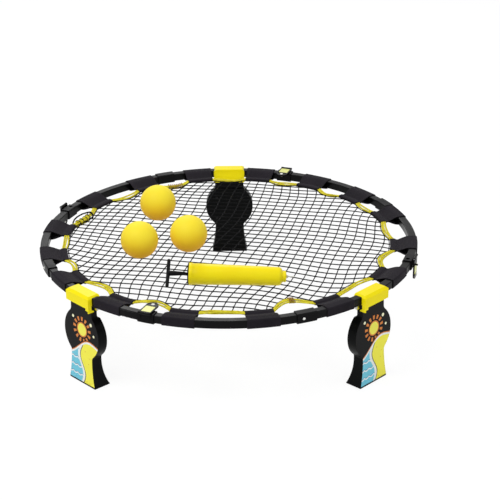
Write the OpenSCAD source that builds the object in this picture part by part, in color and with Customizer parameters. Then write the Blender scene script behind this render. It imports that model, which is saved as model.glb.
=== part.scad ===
// Roundnet game set: a round rebound net in a take-apart rim on three folding legs,
// with three balls and a hand pump lying on the net.
// Millimetres, +Z up. The origin is on the ground under the middle of the rim.
// Every rim piece is drawn in its own radial plane, X = distance from the middle,
// and then turned to its place round the rim.

/* [Rim] */
// Outer radius of the rim tube
rim_r = 450; // [430:5:520]
// Height of the top of the rim above the ground
rim_top = 226; // [205:1:280]
// Outside size of the square rim tube
tube = 19; // [17:0.5:24]
// Wall of the rim tube
tube_wall = 1.5; // [1.2:0.1:2]
// Outside corner radius of the rim tube
tube_corner = 2.5; // [2:0.1:3.5]

/* [Rim joints] */
// Length of the reduced end that plugs into the next arc
spigot_len = 22; // [16:1:24]
// Wall of the reduced end
spigot_wall = 1.2; // [0.8:0.1:1.4]
// Length of the plain sleeve over a joint
sleeve_len = 46; // [44:1:56]
// Length of the sleeve that carries a latch
latch_sleeve_len = 38; // [36:1:44]
// Wall of the sleeves
sleeve_wall = 2.2; // [1.6:0.1:3]
// Diameter of the snap button
button_d = 6; // [4:0.5:8]
// How far the button stands out of its sleeve
button_proud = 2; // [1.5:0.1:3]
// Distance of the button or peg from the joint line
lock_offset = 8; // [7:0.5:10]

/* [Latch] */
// Length of the lever from its pin to its tip
lever_len = 54; // [50:1:62]
// Width of the lever
lever_w = 28; // [26:1:32]
// Thickness of the lever
lever_t = 3.6; // [3:0.1:4.2]
// Width of the raised edge round the lever
lever_edge = 2.4; // [1.6:0.1:3]
// Diameter of the lever's hinge pin
lever_pin_d = 3; // [2.4:0.1:3.4]
// Diameter of the locking peg under the lever
peg_d = 4.4; // [3.6:0.1:5]

/* [Fabric tabs and edge cord] */
// Width of a tab where it wraps the rim
tab_w = 72; // [60:1:80]
// Distance from the outside of the rim to the inner end of a tab
tab_reach = 64; // [58:1:76]
// Thickness of the folded tab fabric
fabric = 1.6; // [1.2:0.1:2]
// Diameter of one strand of the edge cord
strand_d = 4; // [3:0.2:4.6]
// How far the edge cord is drawn in between two tabs, on average
scallop = 16; // [8:0.5:18]

/* [Net] */
// Spacing of the net cords
net_pitch = 46; // [45:1:70]
// Thickness of a net cord
net_cord = 2.4; // [2:0.1:3.2]
// Turn of the net's weave in the rim
net_turn = -13; // [-45:1:45]
// Shift of the net's weave
net_shift = [-16, 14];

/* [Leg clamps] */
// Length of a clamp along the rim
clamp_len = 80; // [80:1:100]
// Thickness of the clamp over the tube
clamp_wall = 3.8; // [3:0.1:5]
// Thickness of the clamp's outer block
clamp_block = 9.6; // [8:0.1:12]
// Diameter of the leg hinge pin
hinge_d = 5; // [4:0.1:5.6]
// Radius of the hinge knuckles
knuckle_r = 5.5; // [5:0.1:6]

/* [Legs] */
// Width of the neck of a leg
neck_w = 75; // [66:1:78]
// Radius of the round middle of a leg
bulb_r = 62; // [56:0.5:66]
// Height of the middle of the round part
bulb_z = 125; // [118:1:132]
// Width of the foot
foot_w = 93; // [86:1:110]
// Depth of the foot
foot_depth = 43.6; // [38:0.2:52]
// Thickness of the leg above the foot
leg_t = 24.5; // [22:0.5:28]
// Wall of the moulded leg shell
leg_wall = 2.5; // [2:0.1:3.5]
// Thickness of the rubber foot pad
pad_t = 3; // [2:0.2:5]

/* [Balls] */
// Diameter of a ball
ball_d = 88; // [80:1:92]
// Wall of a ball
ball_wall = 2; // [1.5:0.5:4]

/* [Pump] */
// Outside diameter of the pump barrel
barrel_d = 49.5; // [44:0.5:56]
// Length of the pump barrel
barrel_len = 210; // [180:1:216]
// How much the barrel narrows towards its nozzle, on the radius
barrel_draft = 3.6; // [0:0.1:4.4]
// Wall of the pump barrel
barrel_wall = 2.3; // [1.8:0.1:3]
// Length of the T handle's bar
handle_w = 76; // [60:1:76]
// Diameter of the plunger rod
rod_d = 6; // [5:0.5:8]
// Length of the ball needle
needle_len = 18; // [14:1:24]

/* [Hidden] */
$fn = 64;

// Places round the rim, in degrees, from +X towards +Y.
tab_at = [20, 39.5, 59, 79.5, 101.5, 122.5, 145, 171, 192, 211, 233.8, 256.5, 280.5, 304, 332.5, 355];
leg_at = [90.5, 223.2, 316.7];
// Latches 2 and 4 hang open outside the rim, the others lie closed over it.
lever_open = [0, 270, 0, 270];
// What the net pulls in each gap between two tabs, as a share of the average.
draw_share = [0.6, 1.1, 0.85, 0.9, 1.5, 1.2, 0.95, 0.3, 0.6, 1.3, 1.6, 0.45, 2.35, 1.15, 1.3, 0.75];
// Tabs, balls and pump keep their share of the rim when it changes.
of_rim = rim_r / 450;
tab_wide = tab_w * of_rim;

// Clearances
fit = 0.2;        // fixed pieces that slide over each other when the rim is put together
run = 0.4;        // pieces that swing past each other
pin_gap = 0.06;   // radial gap of a hinge pin in its bore
seat = 0.3;       // soft pieces, balls and pads on what carries them

// Rim tube
mid_r = rim_r - tube / 2;
mid_z = rim_top - tube / 2;
bore = tube - 2 * tube_wall;
spigot = bore - 2 * 0.15;
sleeve_out = tube + 2 * fit + 2 * sleeve_wall;
function arc_deg(len, r = mid_r) = len / r * 180 / PI;

// Joints 1, 3, 5 and 7 have a plain sleeve with a snap button, the others have a latch.
function past_tab(a, t) = max(a, tab_at[t] + arc_deg((tab_wide + sleeve_len) / 2 + 0.6));
joint_at = [past_tab(28, 0), 71, 113, 156, past_tab(200.5, 8), 247, 293, 343];

// Net and edge cord: three strands side by side, in the pocket at the end of each tab
strands = 3;
strand_step = strand_d + 0.15;
band = (strands - 1) * strand_step + strand_d;
tab_end = rim_r - tab_reach;
cord_r = tab_end + fabric + fit + band / 2;
tab_half = arc_deg(tab_wide) / 2;
// Round the rim: an angle and how far the cord is drawn in there. It runs straight through a tab's pocket.
ring_at = [for (i = [0 : 15]) let (a = tab_at[i], b = tab_at[(i + 1) % 16] + (i == 15 ? 360 : 0), open = b - a - 2 * tab_half)
    each [for (k = [-3, -1, 1, 3]) [a + tab_half * k / 3, 0],
        for (k = [1 : 4]) [a + tab_half + open * k / 5, scallop * draw_share[i] * (1 - pow(2 * k / 5 - 1, 2))]]];
function cord_at(p) = cord_r - p[1];
function net_edge(p) = tab_end - seat - max(0, p[1] - fabric - fit);
net_top = mid_z + net_cord / 2;

// Latch lever hinge, in the radial plane
latch_x = rim_r + fit + sleeve_wall + 3.2;
latch_z = rim_top + fit + sleeve_wall + 0.8 + lever_t / 2;
ear_r = lever_pin_d / 2 + 1.9;
ear_t = 3.4;
barrel_r = ear_r - 0.2;
ear_in = lever_w / 2 - ear_t;
peg_slot = peg_d + 5;

// Leg hinge, in the radial plane, and the stop faces round it
hinge_x = rim_r - 16;
hinge_z = rim_top - tube - 10;
tube_low = rim_top - tube;
block_x = rim_r + seat + clamp_block;
block_low = tube_low - 5;
neck_out = rim_r - fit;
head_r = neck_out - hinge_x;
leg_foot_out = neck_out + 8;
leg_in = neck_out + 3 - leg_t;
foot_in = leg_foot_out - foot_depth;
recess_z = hinge_z - 22;
flare_z = 62;
flare_r = (pow(leg_in - foot_in, 2) + flare_z * flare_z) / (2 * (leg_in - foot_in));
lean = (leg_foot_out - hinge_x - head_r + 0.5) / hinge_z;
end_lug = (clamp_len - neck_w) / 2 - seat;
end_slope = 5;
lug_z = hinge_z - knuckle_r;
knuckle_end = 25;
knuckle_mid = 8;
solid_z = recess_z - 4;
rib_h = 4;
bite = 0.03;      // how far a fillet's arc cuts into the lines that it joins
boss_at = [[-34, 150], [34, 150], [-34, 92], [34, 92]];
boss_r = 4.5;
screw_r = 1.5;

// Pump, drawn with its axis along X and then laid on the net
pump_r = barrel_d / 2;
pump_x = -86 * of_rim;
pump_y = -245 * of_rim;
pump_turn = -2;
collar = 0.6;
pump_z = net_top + seat + pump_r + collar;
pump_pitch = atan((barrel_draft + collar) / barrel_len);
handle_tilt = 32;
piston_x = barrel_len - 28;
bore_r = pump_r - barrel_draft - barrel_wall;
shoulder = 6;
tip_r = 6.5;
tip_len = 4.5;

// ---- profiles ------------------------------------------------------------

// A square with true round corners, centred.
module round_square(size, r) {
    for (x = [-1, 1], y = [-1, 1]) translate([x * (size / 2 - r), y * (size / 2 - r)]) circle(r);
    square([size, size - 2 * r], center = true);
    square([size - 2 * r, size], center = true);
}

// A hollow square section.
module box_section(size, wall, r) {
    difference() {
        round_square(size, r);
        round_square(size - 2 * wall, max(0.4, r - wall));
    }
}

// Turns a profile in the rim's radial plane along the rim, from one angle to another.
module along_rim(from, to) {
    rotate([0, 0, from]) translate([0, 0, mid_z]) rotate_extrude(angle = to - from, $fn = 180) translate([mid_r, 0]) children();
}

// Puts a straight piece, drawn in the radial plane, at its angle round the rim.
module at_rim(a) {
    rotate([0, 0, a]) children();
}

// Pushes a profile drawn as [distance from the middle, height] out along the rim, both ways.
module across(width) {
    translate([0, width / 2, 0]) rotate([90, 0, 0]) linear_extrude(width) children();
}

// A cylinder along the rim at a point of the radial plane.
module rod_at(x, z, r, width, y = 0) {
    translate([x, y, z]) rotate([90, 0, 0]) cylinder(r = r, h = width, center = true, $fn = 48);
}

// ---- rim -----------------------------------------------------------------

// Holes of joint j: the snap button's, or the slot for the latch peg.
module lock_hole(j) {
    side = arc_deg(lock_offset);
    at_rim(joint_at[j] - side) if (j % 2 == 0)
        translate([mid_r, 0, mid_z]) rotate([0, 90, 0]) cylinder(d = button_d + 0.4, h = tube, $fn = 48);
    else
        translate([mid_r - 0.9, 0, mid_z]) cylinder(d = peg_slot, h = tube, $fn = 48);
}

// One arc of the rim: a bent square tube, its reduced end plugged into the arc before it.
module rim_arc(i) {
    next = (i + 1) % 8;
    from = joint_at[i];
    to = joint_at[next] + (next == 0 ? 360 : 0);
    gap = arc_deg(0.15);
    color([0.09, 0.09, 0.1]) difference() {
        union() {
            along_rim(from + gap, to - gap) box_section(tube, tube_wall, tube_corner);
            along_rim(from - arc_deg(spigot_len), from + arc_deg(8)) box_section(spigot, spigot_wall, 1.6);
            along_rim(from + arc_deg(2), from + arc_deg(8)) box_section(bore + 0.2, spigot_wall + 0.4, 1.4);
        }
        lock_hole(i);
        lock_hole(next);
    }
}

// Plain sleeve over a joint.
module sleeve(j) {
    half = arc_deg(sleeve_len) / 2;
    color([0.12, 0.12, 0.13]) difference() {
        along_rim(joint_at[j] - half, joint_at[j] + half) box_section(sleeve_out, sleeve_wall, tube_corner + 1);
        lock_hole(j);
    }
}

// Snap button: a domed pin through the tubes and the sleeve, held in by its flange.
module snap_button(j) {
    inside = mid_r + spigot / 2 - spigot_wall - 0.2;
    outside = mid_r + sleeve_out / 2 + button_proud;
    color("white") at_rim(joint_at[j] - arc_deg(lock_offset)) translate([inside, 0, mid_z]) rotate([0, 90, 0]) {
        translate([0, 0, -1.4]) cylinder(d = button_d + 3, h = 1.4, $fn = 48);
        rotate_extrude($fn = 48) intersection() {
            union() {
                translate([0, -1]) square([button_d / 2, outside - inside - button_d / 4 + 1]);
                translate([0, outside - inside - button_d / 2]) circle(button_d / 2);
            }
            translate([0, -1]) square([button_d, outside - inside + 1]);
        }
    }
}

// Sleeve with two ears at its outer top edge for the latch lever.
module latch_sleeve(j) {
    half = arc_deg(latch_sleeve_len) / 2;
    face = rim_r + fit + sleeve_wall;
    color([0.12, 0.12, 0.13]) difference() {
        union() {
            along_rim(joint_at[j] - half, joint_at[j] + half) box_section(sleeve_out, sleeve_wall, tube_corner + 1);
            at_rim(joint_at[j]) for (s = [-1, 1]) translate([0, s * (ear_in + ear_t / 2), 0]) {
                across(ear_t) polygon([[face - 0.9, mid_z], [face + 1.1, mid_z], [face + 1.1, latch_z - ear_r - 0.6],
                    [latch_x + 1, latch_z - ear_r + 0.2], [latch_x, latch_z], [latch_x - ear_r, latch_z]]);
                rod_at(latch_x, latch_z, ear_r, ear_t);
            }
        }
        lock_hole(j);
        at_rim(joint_at[j]) rod_at(latch_x, latch_z, lever_pin_d / 2 + pin_gap, lever_w + 2);
    }
}

// Latch lever, drawn closed: it reaches inwards over the sleeve, and its peg drops through the tubes.
module latch_lever(n) {
    j = 2 * n - 1;
    tip = lever_len - lever_w / 2;
    root = ear_r + run + 0.4;
    color([0.1, 0.1, 0.11]) at_rim(joint_at[j]) translate([latch_x, 0, latch_z]) rotate([0, lever_open[n - 1], 0]) difference() {
        union() {
            rod_at(0, 0, barrel_r, 2 * (ear_in - run));
            translate([-root - 2, -(ear_in - run), -lever_t / 2]) cube([root + 2, 2 * (ear_in - run), lever_t]);
            translate([0, 0, -lever_t / 2]) linear_extrude(lever_t) union() {
                translate([-tip, -lever_w / 2]) square([tip - root, lever_w]);
                translate([-tip, 0]) circle(lever_w / 2);
            }
            peg_top = lever_t / 2;
            peg_low = latch_z - mid_z - spigot / 2 + spigot_wall + 0.3;
            translate([mid_r - latch_x, -lock_offset, -peg_low]) cylinder(d = peg_d, h = peg_low - peg_top + 1, $fn = 48);
        }
        // the sunk panel and the sunk end, with a bridge between them
        translate([0, 0, lever_t / 2 - 0.8]) linear_extrude(1) {
            translate([-tip + 6, -lever_w / 2 + lever_edge]) square([tip - root - 8, lever_w - 2 * lever_edge]);
            intersection() {
                translate([-tip, 0]) circle(lever_w / 2 - lever_edge);
                translate([-lever_len, -lever_w / 2]) square([lever_w / 2 + 3, lever_w]);
            }
        }
        translate([-tip - 4, 0, -lever_t]) cylinder(r = 2.6, h = 2 * lever_t, $fn = 48);
        rod_at(0, 0, lever_pin_d / 2 + pin_gap + 0.03, lever_w);
    }
}

module latch_pins() {
    color([0.6, 0.6, 0.62]) for (j = [1, 3, 5, 7]) at_rim(joint_at[j]) rod_at(latch_x, latch_z, lever_pin_d / 2, lever_w + 0.6);
}

// ---- net, edge cord and tabs -----------------------------------------------

// Section of a tab: a loop of webbing round the tube that narrows to a pocket for the edge cord.
module tab_section() {
    out = tube / 2 + fit + fabric;
    in = tube / 2 + fit;
    pocket = strand_d / 2 + 0.4;
    turn_in = rim_r - tube - 26;
    difference() {
        union() {
            round_square(2 * out, tube_corner + fabric);
            polygon([for (s = [1, -1]) each s > 0
                ? [[0, out], [-tube / 2, out], [turn_in - mid_r, pocket + fabric], [tab_end - mid_r, pocket + fabric]]
                : [[tab_end - mid_r, -pocket - fabric], [turn_in - mid_r, -pocket - fabric], [-tube / 2, -out], [0, -out]]]);
        }
        round_square(2 * in, tube_corner);
        polygon([for (s = [1, -1]) each s > 0
            ? [[-tube / 2, in - 1.2], [turn_in - mid_r + 0.5, pocket], [tab_end + fabric - mid_r, pocket]]
            : [[tab_end + fabric - mid_r, -pocket], [turn_in - mid_r + 0.5, -pocket], [-tube / 2, 1.2 - in]]]);
    }
}

module tabs(list) {
    color([0.15, 0.14, 0.17]) for (i = list) along_rim(tab_at[i] - tab_half, tab_at[i] + tab_half) tab_section();
}

// One closed strand of six sides, swept round the rim.
module strand(shift) {
    rings = len(ring_at);
    sides = 6;
    points = [for (p = ring_at) let (r = cord_at(p) + shift, a = p[0])
        for (m = [0 : sides - 1]) let (b = 360 * (m + 0.5) / sides, d = strand_d / 2)
        [(r + d * cos(b)) * cos(a), (r + d * cos(b)) * sin(a), mid_z + d * sin(b)]];
    faces = [for (k = [0 : rings - 1], m = [0 : sides - 1])
        let (p = k * sides + m, q = k * sides + (m + 1) % sides, n = rings * sides)
        each [[p, q, (q + sides) % n], [p, (q + sides) % n, (p + sides) % n]]];
    polyhedron(points, faces);
}

module edge_cord() {
    color([0.95, 0.85, 0.1]) for (k = [0 : strands - 1]) strand((k - (strands - 1) / 2) * strand_step);
}

// Outline of the net, drawn in between the tabs as the edge cord is.
module net_outline(inset) {
    polygon([for (p = ring_at) (net_edge(p) - inset) * [cos(p[0]), sin(p[0])]]);
}

module net() {
    cells = ceil(tab_end / net_pitch) + 1;
    hole = net_pitch - net_cord;
    color([0.1, 0.1, 0.1]) translate([0, 0, mid_z - net_cord / 2]) linear_extrude(net_cord) difference() {
        net_outline(0);
        intersection() {
            net_outline(net_cord);
            rotate(net_turn) for (x = [-cells : cells], y = [-cells : cells])
                translate([x, y] * net_pitch + net_shift)
                    if (norm([x, y] * net_pitch + net_shift) < rim_r) square(hole, center = true);
        }
    }
}

// ---- leg clamps and legs -------------------------------------------------

module clamp(l) {
    inner = rim_r - tube - seat - clamp_wall - 0.8;
    top = rim_top + seat + clamp_wall;
    half = clamp_len / 2;
    low = hinge_z + 1;
    color([0.98, 0.88, 0.08]) at_rim(leg_at[l]) difference() {
        union() {
            across(clamp_len) difference() {
                polygon([[inner, low], [inner, top - 1.5], [inner + 1.5, top], [block_x - 6, top], [block_x, top - 5.5],
                    [block_x, block_low], [rim_r - tube / 2, block_low], [rim_r - tube / 2, low]]);
                translate([rim_r - tube - seat, low - 1]) square([tube + 2 * seat, tube_low - low + 2]);
            }
            // lug below the block at one end, turned in under the tube
            for (s = [l == 2 ? -1 : 1]) translate([0, s * (half - end_lug / 2), 0]) across(end_lug)
                polygon([[block_x, block_low + 1], [block_x, lug_z], [rim_r - 6, lug_z], [rim_r - 6, lug_z + 2.6],
                    [rim_r + seat, lug_z + 6], [rim_r + seat, block_low + 1]]);
            for (s = [l == 2 ? -1 : 1]) translate([0, s * (half - 5), 0]) across(10)
                polygon([[block_x, block_low + 1], [block_x, lug_z + 5], [rim_r + 2, lug_z + 5], [rim_r + 2, block_low + 1]]);
            // fixed knuckles of the leg hinge
            rod_at(hinge_x, hinge_z, knuckle_r, 2 * knuckle_mid);
            for (s = [-1, 1]) rod_at(hinge_x, hinge_z, knuckle_r, half - knuckle_end, s * (half + knuckle_end) / 2);
            for (s = [-1, 0, 1]) translate([inner, s * (half + knuckle_end) / 2, 0]) translate([0, s == 0 ? -knuckle_mid : -(half - knuckle_end) / 2, hinge_z])
                cube([hinge_x - inner - hinge_d / 2 - 0.6, s == 0 ? 2 * knuckle_mid : half - knuckle_end, 8]);
        }
        // sloped corners at both ends of the top
        for (s = [-1, 1]) leg_depth(inner - 1, block_x + 1)
            polygon([[s * (half - end_slope), top + 0.01], [s * (half + 1), top + 0.01], [s * (half + 1), top - end_slope - 1.25], [s * half, top - end_slope]]);
        // bent channel for the tube
        along_rim(-7, 7) round_square(tube + 2 * seat, tube_corner);
        // room for the leg's own knuckles
        for (s = [-1, 1]) rod_at(hinge_x, hinge_z, knuckle_r + run, knuckle_end - knuckle_mid, s * (knuckle_end + knuckle_mid) / 2);
        rod_at(hinge_x, hinge_z, hinge_d / 2 + pin_gap, clamp_len + 1);
    }
}

module leg_hinge_pins() {
    color([0.9, 0.9, 0.88]) for (l = [0 : 2]) at_rim(leg_at[l]) {
        rod_at(hinge_x, hinge_z, hinge_d / 2, clamp_len + 1);
        for (s = [-1, 1]) rod_at(hinge_x, hinge_z, hinge_d / 2 + 1.2, 1.6, s * (clamp_len / 2 + 1.0));
    }
}

// Front outline of a leg: neck, round middle, waist and flared foot, with fillets in the corners.
module leg_outline(inset = 0, from = 0, to = 400) {
    neck = neck_w / 2 - inset;
    bulb = bulb_r - inset;
    foot = foot_w / 2 - inset;
    top_f = 14 + inset;
    low_f = 10 + inset;
    top_c = [neck + top_f, bulb_z + sqrt(pow(bulb + top_f, 2) - pow(neck + top_f, 2))];
    low_c = [neck + low_f, bulb_z - sqrt(pow(bulb + low_f, 2) - pow(neck + low_f, 2))];
    side = foot - neck;
    side_r = (side * side + low_c[1] * low_c[1]) / (2 * side);
    near = [for (c = [top_c, low_c]) [0.4 * c[0], bulb_z + 0.4 * (c[1] - bulb_z)]];
    half = [[0, rim_top], [neck, rim_top], [neck, top_c[1]], top_c, near[0], near[1], low_c, [neck, low_c[1]],
        [neck - 4, low_c[1]], [neck - 4, low_c[1] - 6], [0, low_c[1] - 6]];
    intersection() {
        translate([-foot_w, from]) square([2 * foot_w, to - from]);
        union() {
            difference() {
                union() {
                    translate([0, bulb_z]) circle(bulb);
                    polygon([each half, for (i = [len(half) - 2 : -1 : 1]) [-half[i][0], half[i][1]]]);
                }
                for (s = [-1, 1], c = [top_c, low_c]) translate([s * c[0], c[1]]) circle(c[0] - neck + bite, $fn = 96);
            }
            difference() {
                translate([-foot, 0]) square([2 * foot, low_c[1] + 3]);
                for (s = [-1, 1]) translate([s * (neck + side_r), low_c[1]]) circle(side_r, $fn = 128);
            }
        }
    }
}

// Side profile of a leg: outer face, round head at the hinge, recess for the clamp, flare at the foot.
module leg_side() {
    difference() {
        union() {
            polygon([[foot_in, 0], [leg_foot_out, 0], [hinge_x + head_r - 0.5, hinge_z], [hinge_x + run, hinge_z],
                [hinge_x + run, recess_z], [leg_in, recess_z - 3], [leg_in, flare_z], [foot_in, flare_z]]);
            intersection() {
                translate([hinge_x, hinge_z]) circle(head_r);
                translate([hinge_x, hinge_z - 8]) square([head_r + 1, tube_low - run - hinge_z + 8]);
            }
        }
        translate([leg_in - flare_r, flare_z]) circle(flare_r + bite, $fn = 128);
    }
}

// What lies deeper in the leg than a wall behind its inner face.
module leg_behind(wall) {
    difference() {
        polygon([[foot_in + wall, -1], [rim_r + 60, -1], [rim_r + 60, rim_top], [leg_in + wall, rim_top],
            [leg_in + wall, flare_z], [foot_in + wall, flare_z]]);
        translate([leg_in + wall - flare_r, flare_z]) circle(flare_r + bite, $fn = 128);
    }
}

module leg_place(l) {
    at_rim(leg_at[l]) children();
}

// Pushes the front outline out along the radius, over the whole depth of the leg.
module leg_depth(from, to) {
    translate([from, 0, 0]) rotate([90, 0, 90]) linear_extrude(to - from) children();
}

module leg_shell(l) {
    color([0.11, 0.12, 0.13]) leg_place(l) difference() {
        union() {
            intersection() {
                leg_depth(hinge_x - 40, rim_r + 40) leg_outline(0, pad_t, tube_low - run);
                across(2 * bulb_r + 20) leg_side();
            }
            for (s = [-1, 1]) translate([0, s * (knuckle_end + knuckle_mid) / 2, 0]) {
                rod_at(hinge_x, hinge_z, knuckle_r, knuckle_end - knuckle_mid - 2 * run);
                translate([hinge_x, 0, 0]) across(knuckle_end - knuckle_mid - 2 * run)
                    translate([0, hinge_z - knuckle_r]) square([8, 2 * knuckle_r - 1]);
            }
        }
        // hollow, open towards the middle, under the closed neck
        difference() {
            intersection() {
                leg_depth(hinge_x - 60, rim_r + 40) leg_outline(leg_wall, pad_t + leg_wall, solid_z);
                across(2 * bulb_r) polygon([[0, 0], [leg_foot_out - leg_wall, 0],
                    [leg_foot_out - leg_wall - lean * hinge_z, hinge_z], [0, hinge_z]]);
            }
            for (b = boss_at) translate([leg_in + leg_wall, b[0], b[1]]) rotate([0, 90, 0]) cylinder(r = boss_r, h = 60, $fn = 32);
        }
        for (b = boss_at) translate([leg_in, b[0], b[1]]) rotate([0, 90, 0]) cylinder(r = screw_r + 0.05, h = 12, $fn = 32);
        // room for the clamp's knuckles
        rod_at(hinge_x, hinge_z, knuckle_r + run, 2 * (knuckle_mid + run));
        for (s = [-1, 1]) rod_at(hinge_x, hinge_z, knuckle_r + run, 40, s * (knuckle_end - run + 20));
        rod_at(hinge_x, hinge_z, hinge_d / 2 + pin_gap + 0.03, clamp_len);
    }
}

// Cover that closes the hollow side of the leg, flush with the shell's edges and stiffened by a rib.
module leg_cover(l) {
    rib_z = pad_t + 12;
    color([0.1, 0.1, 0.11]) leg_place(l) difference() {
        union() {
            intersection() {
                leg_depth(hinge_x - 40, rim_r + 40) leg_outline(leg_wall + fit, pad_t + leg_wall + fit, solid_z - fit);
                across(2 * bulb_r) difference() {
                    leg_side();
                    leg_behind(leg_wall);
                }
            }
            across(2) intersection() {
                difference() {
                    leg_behind(leg_wall - 0.5);
                    leg_behind(leg_wall + rib_h);
                }
                translate([0, rib_z]) square([rim_r, solid_z - rib_z - 8]);
            }
        }
        for (b = boss_at) translate([leg_in - 2, b[0], b[1]]) rotate([0, 90, 0]) cylinder(r = screw_r + 0.3, h = 12, $fn = 32);
    }
}

module leg_screws(l) {
    color([0.3, 0.3, 0.32]) leg_place(l) for (b = boss_at) translate([leg_in, b[0], b[1]]) rotate([0, 90, 0]) {
        cylinder(r = screw_r, h = 11, $fn = 32);
        translate([0, 0, -1.6]) cylinder(r = 3, h = 1.6, $fn = 32);
    }
}

module foot_pad(l) {
    color([0.08, 0.08, 0.08]) leg_place(l) translate([leg_foot_out - foot_depth + 0.6, -foot_w / 2 + 0.6, 0])
        cube([foot_depth - 1.2, foot_w - 1.2, pad_t]);
}

// ---- balls and pump ------------------------------------------------------

ball_at = [[-175, 127], [-93, -62], [-207, -97]];

module ball(i) {
    color([0.98, 0.82, 0.12]) translate([ball_at[i][0] * of_rim, ball_at[i][1] * of_rim, net_top + seat + ball_d / 2]) difference() {
        sphere(d = ball_d, $fn = 96);
        sphere(d = ball_d - 2 * ball_wall, $fn = 64);
    }
}

module pump_place() {
    translate([pump_x, pump_y, pump_z]) rotate([0, pump_pitch, pump_turn]) children();
}

// Revolves a profile of [place along the pump, radius] about the pump's axis.
module turned(points) {
    rotate([0, 90, 0]) rotate_extrude($fn = 96) polygon([for (p = points) [p[1], p[0]]]);
}

module pump_barrel() {
    r = pump_r;
    end = pump_r - barrel_draft;
    len = barrel_len;
    color([0.98, 0.86, 0.1]) pump_place() turned([[0, bore_r], [0, r + collar - 0.5], [0.5, r + collar], [7, r + collar], [7.6, r - 0.1],
        [len, end], [len + 0.35 * shoulder, end - 0.1 * shoulder], [len + 0.65 * shoulder, end - 0.4 * shoulder],
        [len + 0.88 * shoulder, end - 0.85 * shoulder], [len + shoulder, end - 1.4 * shoulder], [len + shoulder, tip_r], [len + shoulder + tip_len, tip_r - 1.2],
        [len + shoulder + tip_len, 2.6], [len + 2, 2.6], [len + 2, bore_r - 6], [len - 6, bore_r]]);
}

module pump_end_cap() {
    in = bore_r - fit;
    color([0.08, 0.08, 0.08]) pump_place() turned([[-3, rod_d / 2 + 0.3], [-3, pump_r - 1], [-2, pump_r], [-0.1, pump_r], [-0.1, in],
        [8, in], [8, in - 2], [1, in - 2], [1, rod_d / 2 + 3], [6, rod_d / 2 + 3], [6, rod_d / 2 + 0.3]]);
}

module pump_needle() {
    base = barrel_len + shoulder + tip_len;
    color([0.8, 0.8, 0.8]) pump_place() turned([[base - 8, 0.5], [base - 8, 2.5], [base + 0.1, 2.5], [base + 0.1, 3.2], [base + 3, 3.2], [base + 4, 1.1],
        [base + needle_len - 1, 1.1], [base + needle_len, 0.7], [base + needle_len, 0.5]]);
}

stem = 40;

module pump_rod() {
    color([0.1, 0.1, 0.1]) pump_place() turned([[-14, 0], [-14, rod_d / 2], [piston_x - 2, rod_d / 2], [piston_x - 2, 1.9], [piston_x + 10, 1.9], [piston_x + 10, 0]]);
}

module pump_piston() {
    in = bore_r - 0.5;
    color([0.85, 0.85, 0.82]) pump_place() turned([[piston_x - 2, 1.92], [piston_x - 2, in], [piston_x + 2, in], [piston_x + 2, in - 2.7],
        [piston_x + 5.2, in - 2.7], [piston_x + 5.2, in], [piston_x + 9, in], [piston_x + 9, 1.92]]);
}

module pump_seal() {
    in = bore_r;
    color([0.2, 0.2, 0.2]) pump_place() translate([piston_x + 3.6, 0, 0]) rotate([0, 90, 0]) rotate_extrude($fn = 96) translate([in - 1.65, 0]) circle(1.5, $fn = 24);
}

// T handle: a tapered stem with the bar across it.
module pump_handle() {
    color([0.08, 0.08, 0.08]) pump_place() difference() {
        union() {
            turned([[-stem - 8, 0], [-stem - 8, 6], [-stem, 6], [-14, 4.2], [-8, rod_d / 2 + 0.8], [-8, 0]]);
            translate([-stem - 8, 0, 0]) rotate([handle_tilt, 0, 0]) {
                rotate([90, 0, 0]) cylinder(r = 4, h = handle_w - 8, center = true);
                for (s = [-1, 1]) translate([0, s * (handle_w / 2 - 4), 0]) sphere(r = 4);
            }
        }
        translate([-14.05, 0, 0]) rotate([0, 90, 0]) cylinder(r = rod_d / 2 + 0.05, h = 20);
    }
}

// ---- what each node draws ------------------------------------------------

rim_arc(0);  // rim_arc_1
rim_arc(1);  // rim_arc_2
rim_arc(2);  // rim_arc_3
rim_arc(3);  // rim_arc_4
rim_arc(4);  // rim_arc_5
rim_arc(5);  // rim_arc_6
rim_arc(6);  // rim_arc_7
rim_arc(7);  // rim_arc_8
sleeve(0);  // sleeve_1
sleeve(2);  // sleeve_2
sleeve(4);  // sleeve_3
sleeve(6);  // sleeve_4
latch_sleeve(1);  // latch_sleeve_1
latch_sleeve(3);  // latch_sleeve_2
latch_sleeve(5);  // latch_sleeve_3
latch_sleeve(7);  // latch_sleeve_4
snap_button(0);  // snap_button_1
snap_button(2);  // snap_button_2
snap_button(4);  // snap_button_3
snap_button(6);  // snap_button_4
latch_lever(1);  // latch_lever_1
latch_lever(2);  // latch_lever_2
latch_lever(3);  // latch_lever_3
latch_lever(4);  // latch_lever_4
latch_pins();
tabs([2, 3, 4, 5]);  // tabs_back
tabs([14, 15, 0, 1]);  // tabs_right
tabs([10, 11, 12, 13]);  // tabs_front
tabs([6, 7, 8, 9]);  // tabs_left
edge_cord();
net();
clamp(0);  // clamp_back
clamp(1);  // clamp_left
clamp(2);  // clamp_right
leg_hinge_pins();
leg_shell(0);  // leg_shell_back
leg_shell(1);  // leg_shell_left
leg_shell(2);  // leg_shell_right
leg_cover(0);  // leg_cover_back
leg_cover(1);  // leg_cover_left
leg_cover(2);  // leg_cover_right
leg_screws(0);  // leg_screws_back
leg_screws(1);  // leg_screws_left
leg_screws(2);  // leg_screws_right
foot_pad(0);  // foot_pad_back
foot_pad(1);  // foot_pad_left
foot_pad(2);  // foot_pad_right
ball(0);  // ball_1
ball(1);  // ball_2
ball(2);  // ball_3
pump_barrel();
pump_end_cap();
pump_needle();
pump_rod();
pump_piston();
pump_seal();
pump_handle();
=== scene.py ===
import bpy, bmesh, math
from mathutils import Matrix, Vector, noise


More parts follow.
